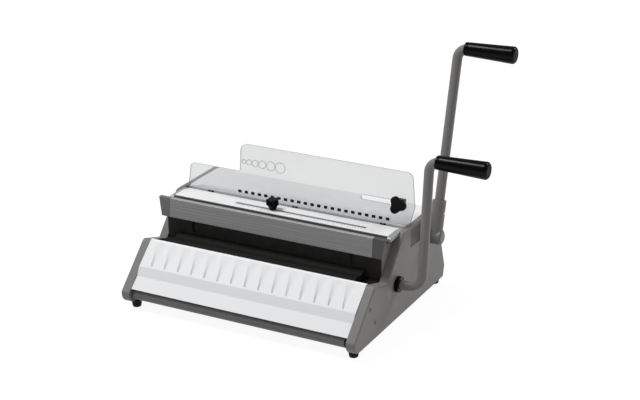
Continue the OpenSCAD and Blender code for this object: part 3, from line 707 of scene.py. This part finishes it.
def straight(bm, ring, move):
    """Draws the last ring of a rod on in a straight line and returns the new ring."""
    grown = bmesh.ops.extrude_edge_only(bm, edges=ring)["geom"]
    verts = [part for part in grown if isinstance(part, bmesh.types.BMVert)]
    bmesh.ops.translate(bm, verts=verts, vec=move)
    return [part for part in grown if isinstance(part, bmesh.types.BMEdge)
            and all(vert in verts for vert in part.verts)]


def bend(bm, ring, centre, angle):
    """Draws the last ring of a rod on round a bend about Y and returns the new ring."""
    verts = list(dict.fromkeys(vert for edge in ring for vert in edge.verts))
    last = bmesh.ops.spin(bm, geom=verts + ring, cent=centre, axis=Y_AXIS, angle=angle,
                          steps=BEND_STEPS)["geom_last"]
    return [part for part in last if isinstance(part, bmesh.types.BMEdge)]


def rod_end(bm, ring, length, reach):
    """Finishes a rod: up to the top bend, round it, and out into the grip."""
    radius = sizes().top_bend
    height = max(vert.co.z for edge in ring for vert in edge.verts)
    ring = straight(bm, ring, Z_AXIS * (length - radius - height))
    ring = bend(bm, ring, Vector((radius, 0, length - radius)), math.pi / 2)
    return straight(bm, ring, X_AXIS * (reach - radius))


def rod_piece(bm, name, node, place):
    """Closes a rod, sets it in its place and makes it a piece."""
    bmesh.ops.holes_fill(bm, edges=[edge for edge in bm.edges if edge.is_boundary])
    bmesh.ops.transform(bm, matrix=place, verts=bm.verts)
    bmesh.ops.recalc_face_normals(bm, faces=bm.faces)
    return piece(name, bm, BODY_OF[node], ["lever_paint"], [node])


def closing_rod():
    """The crank-shaped rod of the closing lever."""
    place, length, plane = lever_frame("closing_grip", "closing_lever_turn")
    low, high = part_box("closing_rod")
    shaft_low, shaft_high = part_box("closing_shaft")
    radius = (shaft_high.z - shaft_low.z) / 2
    foot = sizes().foot_bend
    start = low.x - plane
    bm = bmesh.new()
    turn = Matrix.Translation((start, 0, 0)) @ Matrix.Rotation(math.pi / 2, 4, "Y")
    bmesh.ops.create_circle(bm, segments=ROD_SIDES, radius=radius, matrix=turn)
    ring = straight(bm, list(bm.edges), X_AXIS * (-foot - start))
    ring = bend(bm, ring, Vector((-foot, 0, foot)), -math.pi / 2)
    rod_end(bm, ring, length, high.x - plane)
    return rod_piece(bm, "closing_lever_rod", "closing_rod", place)


def punch_tube():
    """The tube of the punch lever, from its sleeve to its grip."""
    place, length, plane = lever_frame("punch_grip", "punch_lever_turn")
    low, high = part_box("punch_tube")
    pivot = Vector(JOINTS["punch_lever_turn"]["pos_m"])
    rise = place.to_3x3().col[2].z
    radius = high.z - (pivot.z + rise * length)
    foot = (low.z - place.translation.z) / rise + radius * TUBE_FOOT_SHARE
    bm = bmesh.new()
    bmesh.ops.create_circle(
        bm, segments=ROD_SIDES, radius=radius, matrix=Matrix.Translation((0, 0, foot)))
    rod_end(bm, list(bm.edges), length, high.x - plane)
    return rod_piece(bm, "punch_lever_tube", "punch_tube", place)


def grip(node):
    """A tapered hand grip with a rolled mouth and a round outer end."""
    low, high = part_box(node)
    centre = middle(node)
    length = high.x - low.x
    outer = (high.z - low.z) / 2
    inner = outer - GRIP_TAPER
    end = sizes().grip_end
    profile = [(GRIP_HOLE_DEPTH, GRIP_HOLE - GRIP_HOLE_STEP), (GRIP_HOLE_DEPTH, GRIP_HOLE),
               (GRIP_CHAMFER, GRIP_HOLE), (0, GRIP_HOLE + GRIP_CHAMFER)]
    profile += arc(GRIP_LIP, inner - GRIP_LIP, GRIP_LIP, 180, 90)
    profile += [(along, inner + out) for along, out in GRIP_GROOVE]
    profile += [(length / 2, (inner + outer) / 2)]
    profile += arc(length - end, outer - end, end, 90, GRIP_END_ANGLE)
    profile += [(length - GRIP_END_DISH, outer - end), (length, 0)]
    bm = bmesh.new()
    turned(bm, profile, Vector((low.x, centre.y, centre.z)), X_AXIS, steps=72)
    two_finishes(bm, lambda face: face.normal.x > GRIP_END_OUT)
    return piece(node + "_handle", bm, BODY_OF[node], ["black_plastic", "dull_plastic"], [node])


class BINDER_OT_frames(bpy.types.Operator):
    """Side frames, their trim, the base pan, the rear cover and the feet"""

    bl_idname = "binder.frames"
    bl_label = "Frames and feet"

    def execute(self, context):
        edge = sizes().metal_edge
        for side in ("left", "right"):
            node = side + "_side_frame"
            piece(node + "_casting", merged(node), BODY_OF[node], ["frame_paint"], [node])
        # The table's end trims take the bright metal as a painted highlight along their edges
        softened("table_ends", "table_end_trims", "bar_top", edge)
        softened("rear_cover", "rear_cover_panel", "frame_paint", edge)
        softened("base_pan", "base_pan_sheet", "frame_paint", edge)
        softened("side_recess_panel", "side_recess_plate", "recess_paint", edge)
        softened("mouth_cheeks", "mouth_cheek_pair", "frame_paint", edge)
        self.screws()
        self.feet()
        return {"FINISHED"}

    def screws(self):
        """Low domed screw heads on both side frames."""
        low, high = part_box("frame_screws")
        profile = [(depth, SCREW_RADIUS * share) for depth, share in SCREW_PROFILE]
        upper = (low.y + SCREW_RADIUS, high.z - SCREW_RADIUS)
        lower = (high.y - SCREW_RADIUS, low.z + SCREW_RADIUS)
        bm = bmesh.new()
        for outside, inwards in ((high.x, -1), (low.x, 1)):
            for y, z in (upper, lower):
                turned(bm, profile, Vector((outside, y, z)), X_AXIS * inwards, steps=28)
        piece("frame_screw_heads", bm, "machine", ["frame_paint"], ["frame_screws"])

    def feet(self):
        """Tapered rubber feet with a shallow ring."""
        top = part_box("rubber_feet")[1].z
        profile = [(0, 0)] + arc(FOOT_BEND, FOOT_RADIUS - 2 * FOOT_BEND, FOOT_BEND, 180, 100)
        profile += [(top * share, FOOT_RADIUS + out) for share, out in FOOT_SIDES] + [(top, 0)]
        bm = bmesh.new()
        for mount in frame["record"]["mounts"]:
            turned(bm, profile, Vector(mount["pos_m"]), Z_AXIS, steps=40)
        piece("rubber_foot_set", bm, "machine", ["rubber"], ["rubber_feet"])


class BINDER_OT_covers(bpy.types.Operator):
    """The fluted front cover, the work table and the top cover"""

    bl_idname = "binder.covers"
    bl_label = "White covers"

    def execute(self, context):
        edge = sizes().cover_edge
        self.front_cover(edge)
        softened("work_table", "work_table_moulding", "white_panel", edge)
        softened("top_cover", "top_cover_moulding", "white_panel", edge)
        return {"FINISHED"}

    def front_cover(self, edge):
        """The front cover with its long folds rounded, its up-facing faces painted brighter as a painted
        highlight, and its scoops left to smooth shading.
        """
        low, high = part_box("front_cover")
        half = (high.x - low.x) / 2
        bm = merged("front_cover")
        rounded(bm, [fold for fold in sharp_edges(bm) if fold.calc_length() > half], edge)
        # Faces turned up get a brighter white: a painted highlight along the lip
        two_finishes(bm, lambda face: face.normal.z > LIP_HIGHLIGHT_UP)
        piece("front_cover_moulding", bm, BODY_OF["front_cover"], ["white_panel", "white_lip"],
              ["front_cover"])


class BINDER_OT_mouth(bpy.types.Operator):
    """The closing mouth and the bar that closes the wire"""

    bl_idname = "binder.mouth"
    bl_label = "Closing mouth"

    def execute(self, context):
        edge = sizes().metal_edge
        self.bar(edge)
        # The right cap gets the darker paint: painted shade over the bar's shaded right end
        end_pair("bar_end_caps", "bar_end_cap_pair", "cap_paint", "dark_cap_paint", edge)
        softened("closing_anvil", "closing_anvil_block", "black_oxide", edge)
        self.back_sheet(node_edge("mouth_back_plate", edge))
        # The arms take the lighter oxide too: painted light in the shaded mouth
        softened("closing_arms", "closing_arm_pair", "worn_oxide", edge)
        return {"FINISHED"}

    def back_sheet(self, edge):
        """The black sheet behind the mouth, its oxide painted lighter as painted light in the shaded mouth, with a
        grey strip standing before the table.
        """
        bm = merged("mouth_back_plate")
        rounded(bm, sharp_edges(bm), edge)
        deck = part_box("work_table")[0].z
        two_finishes(bm, lambda face: face.calc_center_median().z > deck + edge)
        # The sheet's oxide is painted lighter as painted light in the shade of the bar
        piece("mouth_back_sheet", bm, BODY_OF["mouth_back_plate"], ["worn_oxide", "cap_paint"],
              ["mouth_back_plate"], sharp=ALL_SMOOTH)

    def bar(self, edge):
        """The bar with its lined face and its up-facing top painted bright, partly as a painted highlight."""
        bm = merged("closing_bar")
        rounded(bm, sharp_edges(bm), edge)
        # Up-facing faces get the bright metal: partly the metal's tone, partly a painted highlight
        two_finishes(bm, lambda face: face.normal.z > BAR_HIGHLIGHT_UP)
        piece("closing_bar_profile", bm, BODY_OF["closing_bar"], ["bar_paint", "bar_top"],
              ["closing_bar"], sharp=ALL_SMOOTH)


class BINDER_OT_levers(bpy.types.Operator):
    """Both levers with their rods, hub, collars and grips"""

    bl_idname = "binder.levers"
    bl_label = "Levers"

    def execute(self, context):
        edge = sizes().metal_edge
        closing_rod()
        punch_tube()
        grip("closing_grip")
        grip("punch_grip")
        softened("punch_hub", "punch_lever_hub", "lever_paint", edge)
        softened("punch_cross_pin", "punch_lever_pin", "bare_steel", edge)
        softened("hub_cap", "punch_hub_cap", "lever_paint", edge)
        softened("closing_bushes", "closing_lever_collar", "black_plastic", sizes().knob_edge)
        return {"FINISHED"}


class BINDER_OT_support(bpy.types.Operator):
    """The clear paper support, its fixings, its stop and its printed marks"""

    bl_idname = "binder.support"
    bl_label = "Paper support"

    def execute(self, context):
        self.joint = JOINTS["side_stop_knob_turn"]
        self.normal = Vector(self.joint["axis"])
        self.rise = X_AXIS.cross(self.normal) * -1
        edge = sizes().metal_edge
        self.sheet(edge)
        self.hole_marks()
        self.size_gauge()
        softened("sheet_rail", "sheet_rest_rail", "white_panel", edge)
        softened("sheet_screws", "sheet_screw_set", "black_oxide", edge)
        softened("side_stop", "side_stop_block", "black_plastic", edge)
        softened("side_stop_knob", "side_stop_star_knob", "black_plastic", sizes().knob_edge,
                 segments=5)
        return {"FINISHED"}

    def sheet(self, edge):
        """The sheet with polished edges: its faces are clear and its rim is sawn."""
        bm = merged("paper_sheet")
        rounded(bm, sharp_edges(bm), node_edge("paper_sheet", edge), segments=2)
        two_finishes(bm, lambda face: abs(face.normal.dot(self.normal)) <= SHEET_FACE_OUT)
        piece("clear_paper_support", bm, "machine", ["clear_sheet", "sheet_edge"],
              ["paper_sheet"], sharp=ALL_SMOOTH)

    def on_sheet(self, x, up):
        """The matrix of a point on the sheet's front face, up from the side stop's slot."""
        point = Vector((x, self.joint["pos_m"][1], self.joint["pos_m"][2])) + self.rise * up
        axes = Matrix((X_AXIS, self.rise, self.normal)).transposed().to_4x4()
        return Matrix.Translation(point + self.normal * sizes().ink * INK_LIFT) @ axes

    def hole_marks(self):
        """The row of printed marks that shows where the holes come."""
        low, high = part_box("punch_pins")
        count = sizes().mark_count
        pitch = (high.x - low.x - PIN_WIDTH) / (count - 1)
        bm = bmesh.new()
        for index in range(count):
            place = self.on_sheet(low.x + PIN_WIDTH / 2 + index * pitch, -sizes().mark_drop)
            patch(bm, sizes().mark_width, sizes().mark_height, MARK_CORNER, place)
        piece("hole_marks", bm, "machine", ["printed_ink"])

    def size_gauge(self):
        """A row of printed rings of growing size for judging a wire."""
        ink = sizes().ink
        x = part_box("punch_pins")[0].x + RING_START
        bm = bmesh.new()
        for index in range(RING_COUNT):
            inner = RING_RADIUS + RING_GROWTH * index
            outer = inner + RING_LINE
            x += inner + RING_GAP
            place = self.on_sheet(x, RING_RISE)
            x += inner
            outline = [(0, inner), (0, outer), (ink, outer), (ink, inner), (0, inner)]
            turned(bm, outline, place.translation, self.normal, steps=40)
        piece("size_gauge", bm, "machine", ["faint_ink"])


def patch(bm, width, height, corner, place):
    """A thin printed patch with round corners, standing on a place's XY plane."""
    size = Matrix.Diagonal((width / 2, height / 2, 1, 1))
    verts = bmesh.ops.create_grid(bm, x_segments=1, y_segments=1, size=1, matrix=size)["verts"]
    shaped = bmesh.ops.bevel(bm, geom=verts, offset=corner, offset_type="OFFSET", segments=3,
                             profile=0.5, affect="VERTICES", clamp_overlap=True, material=-1)
    faces = list(dict.fromkeys(face for vert in shaped["verts"] for face in vert.link_faces))
    grown = bmesh.ops.extrude_face_region(bm, geom=faces, use_keep_orig=True)["geom"]
    top = [part for part in grown if isinstance(part, bmesh.types.BMVert)]
    bmesh.ops.translate(bm, verts=top, vec=Z_AXIS * sizes().ink)
    foot = [vert for face in faces for vert in face.verts]
    solid = list(dict.fromkeys(foot + top))
    sides = list(dict.fromkeys(face for vert in solid for face in vert.link_faces))
    bmesh.ops.recalc_face_normals(bm, faces=sides)
    bmesh.ops.transform(bm, matrix=place, verts=solid)


class BINDER_OT_size_setting(bpy.types.Operator):
    """The size setting and the scale in front of its slot"""

    bl_idname = "binder.size_setting"
    bl_label = "Size setting"

    def execute(self, context):
        softened("size_knob", "size_setting_knob", "black_plastic", sizes().knob_edge, segments=4)
        softened("size_slider", "size_setting_slider", "black_plastic", sizes().metal_edge)
        self.scale()
        return {"FINISHED"}

    def scale(self):
        """Plain ticks along the slot, every fifth one longer."""
        knob = middle("size_knob")
        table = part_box("work_table")[1].z
        first = knob.x + JOINTS["size_slide"]["range_m"][0]
        bm = bmesh.new()
        for index in range(TICK_COUNT):
            length = TICK_SHORT if index % TICK_GROUP else TICK_LONG
            point = Vector((first + index * TICK_STEP, knob.y - TICK_GAP - length / 2, table))
            patch(bm, TICK_LINE, length, TICK_CORNER, Matrix.Translation(point))
        piece("size_scale", bm, "machine", ["faint_ink"])


class BINDER_OT_drawer(bpy.types.Operator):
    """The chip drawer with its round front"""

    bl_idname = "binder.drawer"
    bl_label = "Chip drawer"

    def execute(self, context):
        edge = sizes().metal_edge
        softened("drawer_front", "drawer_front_profile", "drawer_profile", edge)
        end_pair("drawer_end_caps", "drawer_end_cap_pair", "drawer_profile", "black_plastic",
                 sizes().knob_edge, segments=4)
        softened("drawer_tray", "drawer_chip_tray", "tray_plastic", edge)
        return {"FINISHED"}


class BINDER_OT_works(bpy.types.Operator):
    """Finishes of the parts inside the machine"""

    bl_idname = "binder.works"
    bl_label = "Inner works"

    def execute(self, context):
        for node in ("cross_bars", "bar_guides", "die_plate", "pin_guide_plate", "throat_floor",
                     "ram_rails", "drawer_runners", "closing_shaft", "closing_cranks",
                     "punch_shaft", "punch_eccentrics", "punch_ram", "ram_yokes", "punch_pins"):
            painted(node, "bare_steel")
        painted("punch_bushes", "black_plastic")
        return {"FINISHED"}


class BINDER_OT_stage(bpy.types.Operator):
    """The floor, the light and the camera"""

    bl_idname = "binder.stage"
    bl_label = "Studio"

    def execute(self, context):
        stage = context.scene.binder_stage
        self.floor(stage)
        self.sky(context.scene, stage)
        self.lamp("key_light", stage.key_place, stage.key_power, stage.key_size)
        self.lamp("rim_light", stage.rim_place, stage.rim_power, stage.rim_size)
        self.camera(context.scene, stage)
        context.scene.view_settings.view_transform = "Standard"
        return {"FINISHED"}

    def floor(self, stage):
        """A pale floor that is seen as nearly white and keeps a soft shadow."""
        bm = bmesh.new()
        bmesh.ops.create_grid(bm, x_segments=1, y_segments=1, size=FLOOR_REACH)
        mesh = bpy.data.meshes.new("studio_floor")
        bm.to_mesh(mesh)
        bm.free()
        finish = Finish("pale_floor")
        rays = finish.node("ShaderNodeLightPath").socket.node.outputs
        direct, mirrored, through = (Wire(finish, rays[kind]) for kind in (
            "Is Camera Ray", "Is Glossy Ray", "Is Transmission Ray"))
        seen = direct + mirrored + through
        share = seen.math("MINIMUM", seen, 1.0) * stage.floor_glow
        tone = (stage.floor_tone, stage.floor_tone, stage.floor_tone, 1)
        lit = finish.node("ShaderNodeBsdfDiffuse", None, {"Color": tone})
        white = finish.node("ShaderNodeEmission", None, {
            "Color": (1, 1, 1, 1), "Strength": FLOOR_WHITE})
        mixed = finish.node("ShaderNodeMixShader", None, {0: share, 1: lit, 2: white})
        finish.node("ShaderNodeOutputMaterial", None, {"Surface": mixed})
        mesh.materials.append(finish.material)
        floor = bpy.data.objects.new("studio_floor", mesh)
        bpy.context.scene.collection.objects.link(floor)

    def sky(self, scene, stage):
        """Even light from all round."""
        world = bpy.data.worlds.new("studio_sky")
        world.use_nodes = True
        background = world.node_tree.nodes["Background"]
        background.inputs["Color"].default_value = (1, 1, 1, 1)
        background.inputs["Strength"].default_value = stage.sky
        scene.world = world

    def lamp(self, name, place, power, size):
        """A large soft light that points at the machine."""
        data = bpy.data.lights.new(name, "AREA")
        data.energy = power
        data.shape = "SQUARE"
        data.size = size
        light = bpy.data.objects.new(name, data)
        light.location = place
        towards = LAMP_AIM - Vector(place)
        light.rotation_euler = towards.to_track_quat("-Z", "Y").to_euler()
        bpy.context.scene.collection.objects.link(light)

    def camera(self, scene, stage):
        """The camera at the viewing angle of the reference picture."""
        data = bpy.data.cameras.new("front_right_view")
        data.lens = stage.lens
        data.sensor_width = SENSOR_WIDTH
        camera = bpy.data.objects.new("front_right_view", data)
        camera.location = stage.camera_place
        camera.rotation_euler = (math.pi / 2 - stage.camera_dip, 0, stage.camera_turn)
        scene.collection.objects.link(camera)
        scene.camera = camera


OPERATORS = (
    BINDER_OT_frames, BINDER_OT_covers, BINDER_OT_mouth, BINDER_OT_levers, BINDER_OT_support,
    BINDER_OT_size_setting, BINDER_OT_drawer, BINDER_OT_works, BINDER_OT_stage)


class BINDER_PT_panel(bpy.types.Panel):
    """Lists the steps that dress the machine"""

    bl_idname = "BINDER_PT_panel"
    bl_label = "Binding machine"
    bl_space_type = "VIEW_3D"
    bl_region_type = "UI"
    bl_category = "Binding machine"

    def draw(self, context):
        for operator in OPERATORS:
            self.layout.operator(operator.bl_idname)


GROUPS = {
    "binder_sizes": MachineSizes,
    "binder_colours": MachineColours,
    "binder_stage": StageSettings,
}


def register():
    for group in GROUPS.values():
        bpy.utils.register_class(group)
    for name, group in GROUPS.items():
        setattr(bpy.types.Scene, name, PointerProperty(type=group))
    for kind in (*OPERATORS, BINDER_PT_panel):
        bpy.utils.register_class(kind)


def unregister():
    for kind in (BINDER_PT_panel, *reversed(OPERATORS)):
        bpy.utils.unregister_class(kind)
    for name, group in GROUPS.items():
        delattr(bpy.types.Scene, name)
        bpy.utils.unregister_class(group)


def main():
    """Builds every piece in turn."""
    register()
    for operator in OPERATORS:
        group, name = operator.bl_idname.split(".")
        getattr(getattr(bpy.ops, group), name)()


if __name__ == "__main__":
    main()
